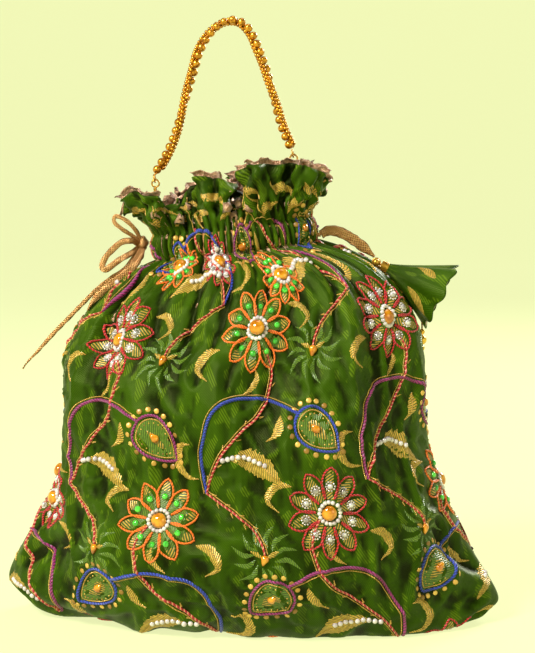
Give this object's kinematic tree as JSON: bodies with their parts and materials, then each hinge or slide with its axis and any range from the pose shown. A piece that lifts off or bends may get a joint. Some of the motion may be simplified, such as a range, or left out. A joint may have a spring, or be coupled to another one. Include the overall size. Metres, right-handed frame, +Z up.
{
  "type": "drawstring gift sack",
  "caption": "Gathered drawstring gift pouch of embroidered brocade, with a ruffled frill, a beaded arch handle, ribbon drawstrings with a bow, and a fabric tassel.",
  "frame": {"origin": "on the floor, under the middle of the sack", "axes": "+Z up, the embroidered front faces -Y, +X to the viewer's right"},
  "size_m": [0.25, 0.1465, 0.3129],
  "materials": {
    "brocade": "green silk brocade with woven gold and embroidery",
    "tissue": "pinkish-gold metallic tissue",
    "mesh_ribbon": "copper-gold metallic mesh ribbon",
    "gold_thread": "gold thread",
    "gold_wire": "polished",
    "gold_beads": "glossy gold glass beads",
    "seed_beads": "pearly white seed beads",
    "amber_stone": "glossy amber stone",
    "green_stone": "glossy green stone",
    "clear_stone": "clear stone in a white setting"
  },
  "bodies": {
    "sack": {"front_panel": "brocade", "back_panel": "brocade", "front_lining": "tissue", "back_lining": "tissue", "front_casing": "brocade", "back_casing": "brocade", "front_frill": "brocade", "back_frill": "brocade", "front_edging": "tissue", "back_edging": "tissue", "left_drawstring_loop": "mesh_ribbon", "right_drawstring_loop": "mesh_ribbon", "handle_anchors": "gold_thread", "handle_anchor_rings": "gold_wire", "amber_stones": "amber_stone", "seed_rings": "seed_beads", "green_petal_stones": "green_stone", "clear_petal_stones": "clear_stone", "eye_stones": "amber_stone", "drop_stones": "green_stone", "leaf_bead_rows": "seed_beads"},
    "handle": {"handle_core": "gold_wire", "handle_end_rings": "gold_wire", "handle_beads_large": "gold_beads", "handle_beads_small": "gold_beads"},
    "left_drawstring": {"left_stub": "mesh_ribbon", "left_knot": "mesh_ribbon", "bow_loop_upper": "mesh_ribbon", "bow_loop_lower": "mesh_ribbon", "left_tail_short": "mesh_ribbon", "left_tail_long": "mesh_ribbon"},
    "right_drawstring": {"right_stub": "mesh_ribbon", "right_ribbon": "mesh_ribbon", "tassel_eye": "gold_wire"},
    "tassel": {"tassel_ring": "gold_wire", "tassel_cap": "mesh_ribbon", "tassel_cone": "brocade", "tassel_cone_lining": "tissue", "tassel_thread": "gold_thread", "tassel_beads_large": "gold_beads", "tassel_beads_small": "gold_beads"}
  },
  "joints": [
    {"name": "handle_swing", "type": "hinge", "parent": "sack", "child": "handle", "pos_m": [-0.05, 0, 0.229], "axis": [0.9841, 0, 0.1777], "range_deg": [-75, 75]},
    {"name": "left_pull", "type": "slide", "parent": "sack", "child": "left_drawstring", "axis": [-1, 0, 0], "range_m": [0, 0.008]},
    {"name": "right_pull", "type": "slide", "parent": "sack", "child": "right_drawstring", "axis": [1, 0, 0], "range_m": [0, 0.008]},
    {"name": "tassel_swing", "type": "hinge", "parent": "right_drawstring", "child": "tassel", "pos_m": [0.065, 0.006, 0.1865], "axis": [0, 1, 0], "range_deg": [-45, 0]}
  ]
}
